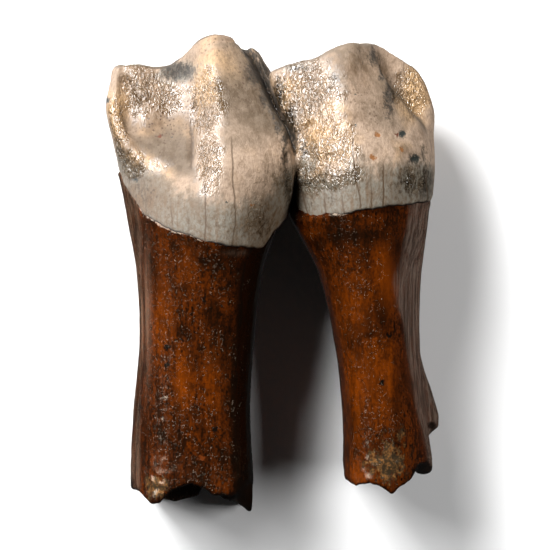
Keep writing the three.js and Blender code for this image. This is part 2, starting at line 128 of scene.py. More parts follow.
# ---- the enamel's lower edge on the cheek side: (x, height) ----
ENAMEL_EDGE = [
    (-19, 13.2), (-17.7, 11.3), (-16.2, 9), (-14.6, 6.8), (-12.4, 5.4), (-10.4, 4.6), (-8.7, 4.1),
    (-7.6, 3.6), (-4.9, 3.2), (-2.6, 2.9), (-0.9, 3), (0.2, 4.6), (1.4, 6), (2.3, 6.8), (3, 6.2), (3.8, 6),
    (5.8, 6.5), (8.4, 6.8), (12.1, 7.5), (14.4, 7.8), (16.4, 8), (18.6, 8.4), (19.5, 8.6),
]

# ---- the roots, as the crown: (height, ring of (x, z)) ----
FRONT_ROOT = [
    (-30, [(-16.4, 8), (-16, 10.8), (-15.3, 13.3), (-12.9, 16.3), (-8.2, 17.1), (-3.9, 16.1), (-2, 13),
     (-2.1, 8.2), (-3.8, -0.6), (-8.8, 0.7), (-13.8, -0.6)]),
    (-24, [(-16.4, 8), (-16, 10.8), (-15.2, 13.4), (-12.8, 16.4), (-8.2, 17.3), (-4, 16.2), (-2.2, 13),
     (-2.3, 8.2), (-3.8, -0.5), (-8.8, 0.9), (-13.8, -0.5)]),
    (-16, [(-16.1, 8), (-15.5, 10.9), (-14.9, 13.6), (-12.4, 16.5), (-8, 17.5), (-4.1, 16.2), (-2.5, 13),
     (-2.8, 8.4), (-3.8, 1.2), (-8.8, 2), (-13.8, 0.9)]),
    (-8, [(-15.4, 8.2), (-14.6, 11.2), (-14.4, 14), (-11.8, 16.8), (-7.6, 17.7), (-3.9, 16.4), (-2.1, 13.2),
     (-2.3, 8.6), (-3.4, 2), (-8.6, 2.8), (-13.4, 1.8)]),
    (0, [(-15.7, 8.4), (-14.9, 11.8), (-14.5, 14.6), (-11.6, 17.4), (-7.2, 18.7), (-3.4, 17.4), (-1.3, 14),
     (-1.4, 9), (-2.8, 2), (-8.4, 3), (-13.6, 2)]),
    (6, [(-16.7, 8.6), (-15.6, 12.6), (-14.6, 14.7), (-11.4, 17.6), (-6.6, 19.4), (-2.6, 17.8), (-0.2, 14.2),
     (0.3, 9.2), (-2.2, 1.6), (-8.4, 3.2), (-14, 1.6)]),
    (12, [(-17.5, 8.6), (-16, 12), (-14.6, 13.6), (-11.8, 15), (-7.2, 16.8), (-2.6, 16), (0.2, 12.6),
     (0.8, 8.6), (-1.4, 1.8), (-8.4, 3.6), (-14.2, 1.8)]),
    (15, [(-17, 8.6), (-15.6, 11), (-14.2, 11.8), (-11.6, 12.2), (-7.4, 13.4), (-2.8, 13), (-0.2, 11),
     (0.4, 8.4), (-1.6, 2.6), (-8.4, 4.6), (-14.2, 2.8)]),
]

REAR_ROOT = [
    (-30, [(8.5, 8.2), (8.7, 11.6), (9.7, 14.7), (11.6, 16.4), (14.6, 15.7), (17.3, 13.6), (18.7, 11),
     (19.1, 7.2), (16.6, -0.6), (12.2, 0.4), (9.4, -0.6)]),
    (-24, [(8.5, 8.2), (8.7, 11.6), (9.7, 14.8), (11.6, 16.5), (14.6, 15.8), (17.2, 13.6), (18.6, 11),
     (19, 7.2), (16.6, -0.5), (12.2, 0.6), (9.4, -0.5)]),
    (-16, [(8.35, 8.4), (8.6, 11.8), (9.6, 14.8), (11.5, 16.5), (14.2, 15.9), (16.2, 13.8), (17.4, 10.8),
     (18.1, 7.2), (16.2, 1.2), (12, 1.9), (9.2, 1.1)]),
    (-8, [(7.4, 8.6), (7.7, 12), (8.8, 15), (10.8, 16.7), (13.4, 16.2), (15.2, 14.2), (16.2, 11.2),
     (17.4, 7.4), (15.6, 2), (11.4, 2.8), (8.4, 2.2)]),
    (0, [(5.6, 8.8), (5.8, 12.2), (7.3, 15.6), (9.6, 17.6), (12.8, 17.2), (14.7, 15.2), (16.1, 11.6),
     (17.6, 7.6), (15.2, 2), (10.4, 3.2), (6.8, 2.4)]),
    (6, [(2.9, 9), (3.1, 12), (4.9, 15), (8.4, 18.3), (12.2, 17.9), (15.4, 15.2), (17.6, 11.8), (18.2, 8),
     (15.4, 1.4), (9.8, 3.4), (4.4, 2.8)]),
    (12, [(1.9, 9), (2.2, 12), (4.6, 14.6), (8.2, 17.2), (11.8, 17), (15.2, 14.8), (17.2, 11.8), (18, 8),
     (15.4, 1.6), (9.6, 3.6), (3.4, 3.4)]),
    (15, [(2.4, 8.8), (2.8, 11.2), (4.8, 13.2), (8, 15.2), (11.6, 15), (14.8, 13.2), (16.8, 11), (17.6, 8),
     (15.4, 2.2), (9.6, 4.4), (3.6, 4.2)]),
]

# ---- the blunt spur on the rear root's tongue side, round about its own line ----
SPUR_TOP = (14.2, -3, 5.6)
SPUR_TIP = (18, -19, 4.4)
# (radius, distance down the line), ending in a small pit
SPUR_PROFILE = [
    (0, 0), (0.9, 1), (1.3, 5), (1.7, 8.5), (2.1, 11.5), (2.25, 14.6), (1.9, 15.9), (1.1, 16.3), (0.8, 15.2),
    (0, 14.6),
]

# ---- the broken ends: (x, height) of the edge on the cheek side and on the tongue side ----
FRONT_BREAK_CHEEK = [
    (-17, -25), (-15.2, -25.1), (-13.7, -26.6), (-12.8, -26.3), (-11.4, -24.8), (-9, -24), (-7.4, -24.7),
    (-6.6, -25.4), (-4.2, -25.5), (-2.9, -24.4), (-2, -23.8),
]
FRONT_BREAK_TONGUE = [
    (-17, -24.6), (-14, -26.2), (-11.5, -27), (-8.6, -26.2), (-7.8, -24.5), (-7.2, -24.5), (-6.2, -26.2),
    (-5.6, -26.7), (-3.6, -27.1), (-2.6, -27.9), (-1.8, -27.7),
]
REAR_BREAK_CHEEK = [
    (8, -23.6), (9.8, -24.4), (11.4, -24), (12.8, -24.5), (14, -25.4), (14.8, -24.5), (16.2, -23.7),
    (17, -22), (19.2, -21.9),
]
REAR_BREAK_TONGUE = [(8, -22.4), (12, -23), (16.6, -22.4), (17.1, -23.4), (18.4, -23.5), (19.2, -22.8)]

# ---- low relief on the cheek side: (height, half width, path of (x, y)); grooves have a height below 0 ----
CROWN_RELIEF = [
    (0.3, 0.5, [(-18.8, 22), (-18.2, 17.9), (-17.3, 16), (-16.5, 14.5), (-15.5, 13.1), (-14.4, 11.6)]),
    (-0.35, 0.7, [(-17.1, 23.4), (-16.7, 22), (-16.4, 20.4), (-16.5, 17.2), (-15.8, 15.5)]),
    (0.35, 0.8, [(-16.7, 24.1), (-15.9, 22.7), (-15.2, 21.3), (-14.4, 19.6)]),
    (0.3, 0.5, [(-18.4, 20.4), (-17.9, 17.9), (-17, 15.6), (-15.9, 13.6)]),
    (-0.45, 0.35, [(-8.7, 20.2), (-9, 18.8), (-9.3, 17.3), (-9.3, 15.5), (-9.2, 13.8), (-9.3, 12.3)]),
    (0.2, 0.7, [(-7.9, 20.6), (-8.1, 18.8), (-8.3, 16.7), (-8.2, 14.4)]),
    (0.3, 0.45, [(-4.1, 26.8), (-2.8, 25.2), (-2, 23.4), (-1, 21.1), (0, 18.8), (1.4, 16.4), (2.4, 14.3)]),
    (-0.4, 0.5, [(5.2, 17.9), (4.1, 16.9), (3.7, 16), (3.8, 14.8), (4.4, 13.5), (5.1, 12.2)]),
    (0.3, 1.1, [(5.7, 16.7), (5.9, 15), (6.4, 13.2)]),
    (0.35, 0.45, [(11.1, 26.2), (12.3, 23.9), (13.3, 21.7), (15.2, 19.5), (16.8, 17.6), (18.2, 15.5)]),
    (-0.4, 0.6, [(12, 25.6), (13.3, 23.3), (14.5, 21.5), (16.1, 19.8), (17.6, 18)]),
    (0.25, 0.8, [(14.2, 24.4), (15.4, 22.7), (16.8, 21.1), (17.7, 19.5)]),
    (0.25, 0.8, [(2.4, 11.4), (3.7, 11.1), (5, 10.6)]),
    (0.2, 0.9, [(5.9, 10.7), (8, 11.1), (10.3, 12.1)]),
    (-0.35, 0.3, [(1.6, 14.3), (2, 12.4), (2.1, 10.8), (2.2, 9.5)]),
]
ROOT_RELIEF = [
    (0.2, 0.3, [(-15.1, 4.5), (-15, 1.6), (-14.9, -3), (-14.8, -7.7), (-15, -10.6)]),
    (-0.15, 0.35, [(-15.6, 3.9), (-15.5, -3), (-15.4, -8.2)]),
    (-0.3, 0.3, [(15.5, 5.7), (15.3, 1.6), (15.4, -3), (15.9, -7.7), (16.8, -13.5), (17.6, -18.1)]),
    (-0.2, 0.25, [(10.6, -7.4), (11.7, -7.2), (13.1, -7), (14.3, -7.2)]),
]

# ---- fine cracks in the enamel: (darkness, path of (x, y) from the top down) ----
CRACK_WOBBLE = [(0.04, 1.9, 0), (0.02, 7.7, 0)]  # (width, radians in a millimetre, shift)
CRACK_REACH = 0.4  # a crack's darkness is kept this far to its sides
CRACK_FADE = 2.5  # a crack grows faint over this far below its top end
CRACKS = [
    (1, [(-9.5, 19), (-9.5, 16.5), (-9.3, 14.2), (-9.2, 12.4)]),
    (0.6, [(-14.7, 11), (-14.3, 7.1)]),
    (0.3, [(-13.4, 8.9), (-12.9, 6.7)]),
    (0.9, [(-7.7, 11.7), (-7.5, 9), (-7.4, 7.3), (-7.5, 3.9)]),
    (0.8, [(-4.6, 16.7), (-4.4, 14.2), (-4.3, 9.9), (-4, 7.3), (-4.1, 5.5), (-4.4, 3.4)]),
    (0.9, [(9.3, 17.4), (9.4, 13.2), (9.7, 11.1), (10.3, 7.8)]),
    (1, [(12.7, 13.9), (12.9, 10.8), (12.8, 8)]),
    (0.7, [(11.4, 11.4), (11.5, 8)]),
    (0.8, [(3.0, 11.1), (3.7, 8.9), (4.3, 6.7)]),
    (0.8, [(5.9, 10.6), (6.3, 7)]),
    (0.8, [(7.8, 10.4), (8.4, 7)]),
    (0.6, [(17.9, 12.9), (18.1, 8.6)]),
    (0.6, [(-11.6, 9.6), (-11.3, 5.9)]),
    (0.5, [(-9.6, 8.6), (-9.4, 4.9)]),
    (0.5, [(-2.6, 9.6), (-2.4, 4)]),
]

# ---- patches of the cheek side: (x, y, half width, half height, strength) ----
WRINKLED = [
    (-17.6, 15.4, 1.2, 3, 1), (-13.4, 12.4, 2.4, 1.2, 0.5), (-9.6, 21.4, 1.6, 1.2, 0.6), (2, 21, 3, 3.4, 0.7),
    (-15.3, 21.5, 2.4, 3.8, 1), (-12.3, 20.5, 3.6, 2.6, 0.7), (-7.4, 19.5, 2.2, 4.5, 1),
    (-7, 13, 1.7, 4.5, 0.9), (4, 20.5, 4.4, 4.5, 1), (6.3, 14.5, 4, 4, 0.9), (5, 11, 5, 1.8, 1),
    (16.5, 21.5, 2.6, 3.4, 0.9), (16.3, 10.8, 1.8, 2, 0.8), (-17.9, 16.5, 1.2, 4.6, 0.9),
    (-16, 12.6, 1.8, 1.8, 0.9), (-1.4, 6.2, 2, 3.2, 0.6), (9.2, 11.4, 1.6, 1.4, 0.9),
]
GOLDEN = [
    (-12.6, 16.8, 3.2, 2.6, 0.7), (-5.3, 24, 3.4, 3.6, 0.9), (-18.1, 17.3, 1.8, 4.4, 1),
    (-14.6, 13.4, 3.8, 2.4, 0.9), (1.6, 20.8, 1.6, 2.4, 0.8), (5.9, 15.5, 2.8, 4, 1),
    (5.1, 10.9, 3, 1.6, 0.6), (16.4, 20.8, 2, 4.4, 0.9), (-8, 21.4, 2, 3, 0.7), (3.4, 21, 2.6, 2.6, 0.5),
    (15.4, 14.6, 2.4, 1.8, 0.4),
]
GREY_BLUE = [
    (-9, 5.6, 7, 2.8, 0.8), (-14.5, 9.5, 3, 3, 0.8), (3.5, 9.5, 3.4, 2.8, 0.8), (9, 8.6, 6, 2.2, 0.8),
    (16.5, 9.6, 3.4, 3, 0.9), (-10.9, 23.4, 2.4, 1.6, 1), (-1.2, 6.2, 3.6, 3.4, 0.6),
    (4.2, 12.6, 1.2, 2, 0.8), (8, 22.5, 2.2, 2.4, 0.6), (9.4, 25, 3, 2.4, 0.6), (9.6, 12.5, 2, 2.4, 0.4),
    (2.4, 24.2, 2.6, 0.8, 0.8), (-18, 11.6, 1.4, 2.4, 0.8),
]
# partly dark stains, partly painted shade: in the groove between the lobes, in the valley behind the first
# lobe's shoulder and in other creases
DARK_STAIN_AND_SHADE = [
    (-2.8, 26, 0.6, 1, 1.6), (-2.1, 25, 0.6, 1.2, 1.6), (-1.3, 23.6, 0.7, 1.3, 1.6),
    (-0.7, 22, 0.7, 1.5, 1.6), (0, 19.8, 0.6, 1.6, 1.5), (0.8, 17.6, 0.5, 1.6, 1.4),
    (1.6, 15.6, 0.5, 1.4, 1.1), (11.7, 25.2, 0.5, 1.2, 1.2), (12.7, 23.4, 0.5, 1.4, 1.1),
    (13.7, 21.4, 0.5, 1.6, 1), (-14.8, 9.6, 2.4, 2, 0.5), (1, 21, 1, 2.6, 0.9), (2.6, 15.8, 1, 2.4, 0.9),
    (10.4, 24.4, 1.8, 1.2, 0.35), (-10.9, 23.6, 2.2, 1.2, 1.4), (-16.4, 20.4, 0.6, 2.2, 0.4),
    (-9.3, 15.6, 0.25, 3.4, 0.7), (-12.6, 24, 1, 0.5, 0.6), (2.1, 17.2, 1.1, 2.6, 1.3),
    (0.8, 20.4, 0.9, 2.2, 1.2), (-1.6, 23.6, 1.4, 2, 1.4), (3.6, 14.4, 0.6, 2, 0.9), (13.6, 20.4, 0.9, 3, 1),
    (12, 24.8, 1.2, 1.2, 0.8), (7.4, 22.6, 0.9, 0.8, 0.7), (15.9, 10.6, 1.6, 2, 0.8),
    (16.4, 13.2, 0.9, 0.9, 0.9), (18, 10.4, 1.4, 3, 0.9), (14.6, 9.8, 2.4, 1.6, 0.45),
    (-15.8, 11, 1, 0.9, 0.7), (1.9, 9.8, 0.5, 3.4, 0.9), (-0.9, 5.2, 1.6, 2.8, 0.55),
    (-18.4, 11.8, 0.9, 1.8, 0.7), (13.2, 18.2, 0.5, 1, 0.5), (4.2, 8.2, 1.2, 1.6, 0.5),
    (17.6, 14, 0.5, 1.8, 0.7), (-0.7, 21.2, 0.8, 2.2, 1.4), (0.4, 18.8, 0.6, 2, 1),
    (-2.6, 25.4, 0.7, 0.8, 0.9), (7, 8.6, 1.1, 0.8, 0.5), (10.8, 10.4, 0.7, 1.4, 0.4),
    (3.4, 23.8, 2.4, 0.5, 0.7), (-14, 8.6, 1.6, 1.2, 0.35), (-6, 5.6, 2.2, 1, 0.35),
    (1.6, 13.4, 0.7, 2.4, 0.9), (12.2, 8.6, 1.2, 0.7, 0.3), (9.8, 25.8, 1.4, 0.5, 0.5),
]
# partly brown staining, partly painted shade on the first lobe's lower left, which turns away from the light
BROWN_TINT_AND_SHADE = [
    (-14.6, 8.8, 3.4, 2.8, 1), (-9.4, 8, 3, 1.6, 0.4), (-13.4, 14, 3, 2, 0.5), (9.4, 24, 3.4, 3, 1),
    (3.2, 19.2, 2.2, 2.4, 0.5), (-12.6, 16.8, 3.6, 3, 1), (-15.8, 19, 1.1, 3.6, 1),
    (-3.6, 20.2, 2.4, 0.7, 0.6), (9.6, 18.1, 2.4, 0.6, 0.8), (13.2, 21.6, 1.4, 3, 0.9),
    (4.4, 21.5, 1.2, 3, 0.5), (-15.6, 14.8, 0.9, 0.7, 0.6), (15.6, 14, 1.6, 1, 0.5),
    (10.6, 22.6, 2.6, 3, 0.5), (-1.6, 19, 1.2, 4, 0.5), (-9.3, 16, 0.4, 4, 1), (-0.9, 5.4, 1.8, 3, 0.7),
]
PORED = [
    (-13, 17.4, 3.4, 4, 1), (-9.5, 20, 3, 4, 0.8), (-17.8, 20.4, 1, 3, 0.9), (-3.6, 22, 3, 3.6, 0.7),
    (12, 19, 3, 2.6, 0.7), (-12, 8.4, 3.4, 2, 0.6), (9.5, 20.5, 2.6, 2, 0.6), (-6.4, 26.4, 2, 1.4, 0.8),
    (-13.6, 23, 2.6, 1.4, 0.7),
]
ORANGE_TINT = [
    (-10.1, -12.6, 0.9, 2.6, 0.9), (-6.6, -12.4, 1, 3.6, 0.4), (-12.6, -4, 1.3, 5, 0.5),
    (13.6, 0, 1.3, 3.4, 1.5), (11.4, -12, 3.4, 4, 0.6), (9.9, -14.4, 0.4, 4.4, 0.9), (-9.7, 1, 1, 2, 0.6),
    (13.7, -12, 0.4, 3.4, 0.8), (9.6, -3.6, 2.4, 4, 0.5), (9.8, -23, 1.2, 1.6, 0.7),
    (4.2, 4.8, 1.6, 0.7, 0.8),
]
# a painted highlight along the ridge on the front root's left side, and real pale fibres under the enamel's
# edge
PALE_RIDGES_AND_SHEEN = [
    (-15.05, 1.5, 0.22, 3.5, 0.7), (-14.85, -5.5, 0.2, 4.5, 0.6), (-3.2, 2.4, 1.6, 0.3, 0.5),
    (-14.3, -4, 0.5, 7, 0.45),
]
# partly dark mottling, partly painted shade: on the front root's side towards the gap, under the enamel's
# edge and at the top of the gap between the roots
ROOT_SHADE_AND_DARK = [
    (-9, 1.6, 6, 2.6, 0.35), (10, 0, 4, 6, 0.2), (12, -15, 4, 3, 0.15), (-14.6, 5, 1, 2, 0.6),
    (9, 4.4, 5.5, 1.3, 1), (14.4, 2.6, 1.1, 3.4, 0.9), (-1.6, 1.6, 3.4, 2.4, 1), (-2.8, -5, 1.4, 7, 0.8),
    (-2.6, -18, 1.4, 5, 0.6), (-13.6, 1.4, 0.9, 4, 0.7), (-12.6, -16, 2, 1.6, 0.4), (12.4, -4.6, 0.6, 2, 0.5),
    (-7, 1.6, 3.4, 1, 0.5), (-3.2, 0, 1.8, 3.6, 1), (-4.4, -8, 2, 5, 0.7), (-3.4, -14, 2.2, 6, 0.6),
    (-12.4, -18.6, 2.6, 2.4, 0.4), (-5, -21.4, 4, 2, 0.5),
]
GRANULAR = [
    (-12.4, -21.4, 2.2, 2, 0.3), (13.4, -16.4, 2, 1.6, 0.9), (9.4, -21, 1, 2.4, 0.6), (15, -5, 0.8, 3, 0.5),
    (-10, 3.6, 4.4, 1.9, 1), (-2.6, 2.6, 2.8, 0.8, 0.8), (-13, -15, 2.6, 2.4, 0.6),
    (-13.6, -9, 1.6, 1.4, 0.5), (-6.8, -17, 0.8, 1, 1), (-6, -23.4, 4.4, 1.8, 0.9), (-4, -10, 1.6, 7, 0.5),
    (4, 5, 2, 0.9, 1), (10.6, -1.4, 1.8, 1.4, 1), (12, -7.4, 2.6, 0.7, 0.8), (13.6, -17.6, 2.6, 2.4, 1),
    (8.6, -6, 1.2, 3.4, 0.5), (10, -18.4, 1.6, 1.2, 0.8),
]
SCABBY = [(13.3, -21.6, 2.2, 2.3, 1), (14.8, -18.6, 1, 1.2, 0.6), (-13.2, -24.4, 1.2, 1.6, 0.9)]

# the right-hand border of the rear root's cheek face: (height, x)
REAR_SIDE = [
    (-30, 19.5), (-20.4, 18.1), (-16.5, 17.2), (-13.3, 16.8), (-9.4, 16.1), (-6.5, 15.7), (-3.6, 14.5),
    (-1, 14.1), (0.2, 14.3), (2.2, 15.2), (7, 16),
]

# ---- unevenness from noise. A pattern is its repeats in a millimetre along x, y and z, and its octaves ----
SWELLS = ((0.35, 0.25, 0.35), 2)
ENAMEL_GRAIN = ((1.5, 1.0, 1.5), 3)
BITING_LUMPS = ((0.9, 0.9, 0.9), 3)
ROOT_FIBRES = ((1.3, 0.12, 1.3), 3)
ROOT_GRAIN = ((1.1, 0.9, 1.1), 4)
GRANULES = ((2.4, 2.0, 2.4), 2)
RIM_CRUST = ((1.6, 1.6, 1.6), 3)
SWELL_HEIGHT = 0.08
ENAMEL_GRAIN_HEIGHT = 0.015
WRINKLED_HEIGHT = 0.05
BITING_HEIGHT = 0.06
ROOT_FIBRE_HEIGHT = 0.05
ROOT_GRAIN_HEIGHT = 0.02
LOW_HEIGHT = 0.05
SCAB_HEIGHT = 0.16
GRANULE_HEIGHT = 0.05
RIM_CRUST_HEIGHT = 0.08
RIM_CRUST_BELOW = 0.4  # the crust's middle, under the enamel's edge
RIM_CRUST_BAND = 0.5
WORN_DEPTH = 0.2  # of the dentine along a worn crest
STROKE_FADE = 0.2  # share of a stroke of relief over which each end fades
DENT_WIDTH = 1.3  # of a spot's pit, against the spot's radius
DENT_DEPTH = 0.25

# ---- the masks' bounds: where each is 0, and where it is 1 ----
CHEEK_NORMAL_Z = (0.05, 0.35)
STAIN_AND_SHADE_NORMAL_Z = (-0.4, -0.1)  # the dark stains and the painted groove shade reach further round, onto faces turned away
CHEEK_Z = (5, 8)
EDGE_RISE_Z = (12, 3)
BREAK_Z = (6.5, 11.5)  # from the tongue side's broken edge to the cheek side's
BITING_NORMAL_Y = (0.35, 0.6)
BITING_ABOVE = (6, 8)  # over the enamel's edge
WORN_AWAY = (0.65, 0.35)  # from the crest's line
VALLEY_AWAY = (1.6, 3.6)
LOW_Y = (-17, -24)
REAR_SIDE_BAND = (-0.35, 0.35)
FRONT_SIDE_X = (-14.9, -15.4)
GAP_NORMAL_X = (0.3, 0.7)
TONGUE_Z = (6, 3)
INSIDE_Y = (-23.4, -24.2)  # the walls of the hollows, seen through the breaks, painted dark as shade
INSIDE_Z = (12, 10)
# faces turned down, low on the roots, are painted dark as shade
DOWN_NORMAL_Y = (-0.35, -0.65)
DOWN_Y = (-12, -14)
TUBE_Y = (-22.1, -22.6)  # the tube beside the rear root's break, painted dark as shade
TUBE_FROM_X = 16.2
PIT_MIDDLE = (18.9, -17.8)  # (x, y) of the spur's end, painted dark as shade in its pit
PIT_AWAY = (0.6, 0.4)
REAR_FROM_X = 8  # the rear root begins behind this, and the front one ends before FRONT_TO_X
FRONT_TO_X = 2

# ---- small spots on the cheek side: (colour, (x, y, radius) of each) ----
GREEN_BLACK = (0.012, 0.016, 0.012)
BROWN_BLACK = (0.005, 0.003, 0.002)
RUST = (0.10, 0.022, 0.004)
OCHRE = (0.19, 0.07, 0.012)
CROWN_SPOTS = [
    (GREEN_BLACK, [
        (-11.5, 15.9, 0.12), (-15.6, 10.9, 0.22), (-19.1, 20.2, 0.34), (-5.1, 8.2, 0.15), (15.1, 16.1, 0.42),
        (16.6, 13.3, 0.42), (9.7, 20.7, 0.12), (9.6, 17.1, 0.12),
    ]),
    (RUST, [(-12.8, 15.9, 0.2), (14.4, 16, 0.2)]),
    (OCHRE, [(-2.2, 7.9, 0.14), (15, 14.3, 0.24), (12.2, 16, 0.3), (11.7, 13.3, 0.32)]),
]
ROOT_SPOTS = [
    (BROWN_BLACK, [
        (-7.7, -3, 0.3), (-11.9, -8.4, 0.34), (-10.2, -7.6, 0.18), (-11.9, -10.5, 0.32), (-15.1, -15.4, 0.22),
        (-14.5, -19.6, 0.2), (-6.5, -17.8, 0.32), (12.7, -12.6, 0.3), (13.5, -7.1, 0.3),
    ]),
    (RUST, [(-7.9, -21.1, 0.28)]),
]


# ---- small maths ----
def rise(value, low, high):
    """0 at value = low, 1 at value = high, and smooth between them."""
    t = np.clip((value - low) / (high - low), 0, 1)
    return t * t * (3 - 2 * t)


def round_max(a, b, width):
    """The greater of a and b, with the corner between them rounded over that width."""
    overlap = np.maximum(width - np.abs(a - b), 0)
    return np.maximum(a, b) + overlap**2 / (4 * width)


def height_at(line, x):
    """Height of a broken line of (x, height) points at x."""
    return np.interp(x, [p[0] for p in line], [p[1] for p in line])


def waves(terms, x):
    """Sum at x of the sine waves (height, radians in a millimetre, shift)."""
    return sum(height * np.sin(pace * x + shift) for height, pace, shift in terms)


def along_segment(x, y, ax, ay, bx, by):
    """How far along the segment from a to b its point nearest to (x, y) is, from 0 to 1."""
    dx, dy = bx - ax, by - ay
    return np.clip(((x - ax) * dx + (y - ay) * dy) / (dx * dx + dy * dy), 0, 1)


def path_distance(path, x, y):
    """Distance to an open path, and how far along it its nearest point is, from 0 to 1 by its segments."""
    nearest, share = np.full(x.shape, 1e9), np.zeros(x.shape)
    for i, ((ax, ay), (bx, by)) in enumerate(zip(path, path[1:])):
        t = along_segment(x, y, ax, ay, bx, by)
        away = np.hypot(x - ax - t * (bx - ax), y - ay - t * (by - ay))
        closer = away < nearest
        nearest = np.where(closer, away, nearest)
        share = np.where(closer, (i + t) / (len(path) - 1), share)
    return nearest, share


# ---- the rings as solids ----
def ring_at(loft, y):
    """The ring at height y, on cubics through the loft's rings."""
    heights = [height for height, _ in loft]
    rings = [np.array(ring, float) for _, ring in loft]
    last = len(loft) - 1
    i = int(np.clip(np.searchsorted(heights, y, "right") - 1, 0, last - 1))
    near = [min(max(i + n, 0), last) for n in (-1, 0, 1, 2)]
    a, b, c, d = (rings[n] for n in near)
    ta, tb, tc, td = (heights[n] for n in near)
    span = tc - tb
    slope_b, slope_c = (c - a) / (tc - ta), (d - b) / (td - tb)
    s = (np.clip(y, tb, tc) - tb) / span
    bend = 2 * (b - c) + span * (slope_b + slope_c)
    turn = 3 * (c - b) - span * (2 * slope_b + slope_c)
    return b + s * (span * slope_b + s * (turn + s * bend))


def outline_at(loft, y):
    """The closed outline at height y: a centripetal Catmull-Rom curve through the ring."""
    p1 = ring_at(loft, y)
    p0, p2, p3 = (np.roll(p1, n, axis=0) for n in (1, -1, -2))

    def knot(a, b):
        return np.maximum(np.sum((a - b) ** 2, axis=1) ** 0.25, 1e-4)[:, None]

    d0, d1, d2 = knot(p0, p1), knot(p1, p2), knot(p2, p3)
    slope1 = ((p1 - p0) / d0 - (p2 - p0) / (d0 + d1) + (p2 - p1) / d1) * d1
    slope2 = ((p2 - p1) / d1 - (p3 - p1) / (d1 + d2) + (p3 - p2) / d2) * d1
    t = (np.arange(RING_STEPS) / RING_STEPS)[None, :, None]
    p1, p2, slope1, slope2 = (v[:, None, :] for v in (p1, p2, slope1, slope2))
    cubic = 2 * p1 - 2 * p2 + slope1 + slope2
    square = -3 * p1 + 3 * p2 - 2 * slope1 - slope2
    return (cubic * t**3 + square * t**2 + slope1 * t + p1).reshape(-1, 2)


def outline_distance(outline, x, z):
    """Distance to a closed outline, below 0 inside it."""
    nearest, inside = np.full(x.shape, 1e9), np.zeros(x.shape, bool)
    for (ax, az), (bx, bz) in zip(np.roll(outline, 1, axis=0), outline):
        t = along_segment(x, z, ax, az, bx, bz)
        nearest = np.minimum(nearest, (x - ax - t * (bx - ax)) ** 2 + (z - az - t * (bz - az)) ** 2)
        if az != bz:
            inside ^= ((az > z) != (bz > z)) & (x < ax + (z - az) * (bx - ax) / (bz - az))
    nearest = np.sqrt(nearest)
    return np.where(inside, -nearest, nearest)


def biting_height(x, z):
    """Height of the biting surface: a ridge along each crest, falling away on both sides to the valleys."""
    height = np.full(x.shape, float(VALLEY_FLOOR))
    for crest in CRESTS:
        steps = np.linspace(0, len(crest) - 1, (len(crest) - 1) * CREST_STEPS + 1)
        line = [np.interp(steps, range(len(crest)), [p[axis] for p in crest]) for axis in range(3)]
        away = np.hypot(x[..., None] - line[0], z[..., None] - line[2])
        nearest = away.min(axis=-1)
        weight = np.exp((nearest[..., None] ** 2 - away**2) / (2 * CREST_BLUR**2))
        ridge = (weight * line[1]).sum(axis=-1) / weight.sum(axis=-1)
        height = np.maximum(height, ridge - CREST_SLOPE * np.maximum(0, nearest - CREST_HALF_WIDTH))
    return height


def enamel_edge_height(x, z):
    tongue_side = rise(z, *EDGE_RISE_Z)
    return height_at(ENAMEL_EDGE, x) + TONGUE_EDGE_RISE * tongue_side + waves(RAGGED_EDGE, x)


def crown_field(x, z):
    """The crown's field over the places (x, z), as a function of the height."""
    biting, edge = biting_height(x, z), enamel_edge_height(x, z)

    def at(y):
        top = (y - biting) / np.hypot(1, CREST_SLOPE)
        sides = round_max(outline_distance(outline_at(CROWN, y), x, z), top, CREST_ROUNDING)
        return round_max(sides, edge - y, LIP_ROUNDING)

    return at


def broken_root(loft, cheek_break, tongue_break, y, x, z, edge):
    """One root's field at height y. It is hollow below HOLLOW_TOP and cut off along its broken edges."""
    outline = outline_at(loft, y)
    below = edge - y
    field = outline_distance(outline, x, z) - RIM_SWELL * np.exp(-np.maximum(below, 0) / RIM_HEIGHT)
    field += ROOT_TAPER * np.maximum(-below, 0)
    if y < HOLLOW_TOP:
        share = HOLLOW_SHARE * math.sqrt(1 - ((y - ROOT_FROM) / (HOLLOW_TOP - ROOT_FROM)) ** 2)
        middle = outline.mean(axis=0)
        field = np.maximum(field, -outline_distance(middle + share * (outline - middle), x, z))
    cheek = rise(z, *BREAK_Z)
    end = height_at(tongue_break, x) * (1 - cheek) + height_at(cheek_break, x) * cheek
    return np.maximum(field, end - y)


def spur(y, x, z):
    """The spur's field: its profile turned round the line from its top to its tip."""
    top, tip = np.array(SPUR_TOP, float), np.array(SPUR_TIP, float)
    way = (tip - top) / np.linalg.norm(tip - top)
    offset = [x - top[0], y - top[1], z - top[2]]
    down = sum(o * w for o, w in zip(offset, way))
    radius = np.sqrt(np.maximum(sum(o * o for o in offset) - down**2, 0))
    half = np.array(SPUR_PROFILE, float)
    return outline_distance(np.vstack([half, half[-2:0:-1] * (-1, 1)]), radius, down)


def roots_field(x, z):
    """The roots' field over the places (x, z), as a function of the height."""
    edge = enamel_edge_height(x, z)

    def at(y):
        rear = broken_root(REAR_ROOT, REAR_BREAK_CHEEK, REAR_BREAK_TONGUE, y, x, z, edge)
        rear = -round_max(-rear, -spur(y, x, z), SPUR_BLEND)
        front = broken_root(FRONT_ROOT, FRONT_BREAK_CHEEK, FRONT_BREAK_TONGUE, y, x, z, edge)
        return np.maximum(np.minimum(front, rear), y - ROOT_TOP)

    return at


# ---- from a field to a mesh ----
def summed(owners, rows, count):
    """Sum of the rows of each of count owners."""
    return np.stack([np.bincount(owners, column, count) for column in rows.T], axis=1)


